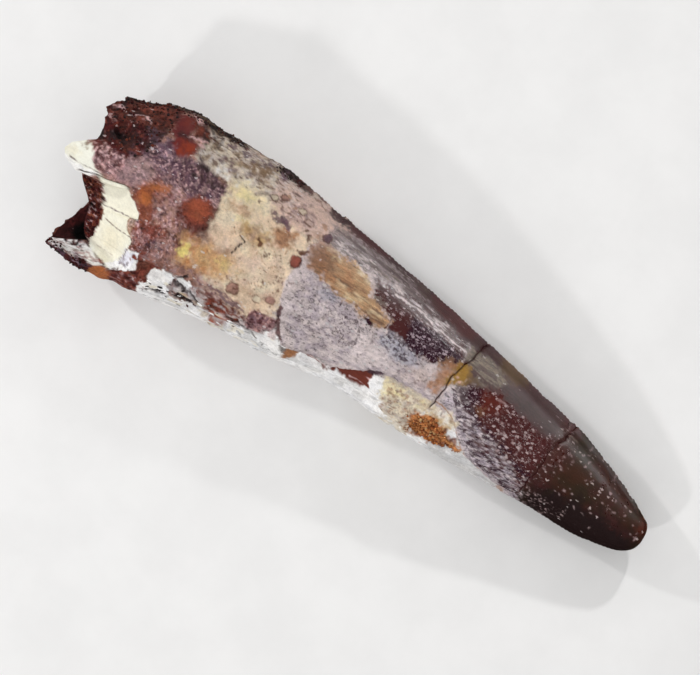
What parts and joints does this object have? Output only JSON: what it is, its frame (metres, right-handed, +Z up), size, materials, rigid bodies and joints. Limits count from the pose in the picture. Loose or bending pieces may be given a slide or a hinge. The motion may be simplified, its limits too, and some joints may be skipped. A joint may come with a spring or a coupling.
{
  "type": "fossil spinosaurus tooth",
  "caption": "Long conical fossil dinosaur tooth lying on its side: a smooth ridged crown with glued breaks, and a crusted hollow root with a broken end.",
  "frame": {"origin": "middle of the tooth's outline in plan, on the surface it rests on", "axes": "+X from the broken root to the tip of the crown, +Z up, so the tooth lies on one flank"},
  "size_m": [0.1143, 0.0317, 0.0223],
  "materials": {
    "fossil_tooth": "fossil dentine and enamel: maroon, cream and lilac, matt and grainy on the root, glossy on the crown"
  },
  "bodies": {
    "root": {"tooth": "fossil_tooth"}
  },
  "joints": []
}
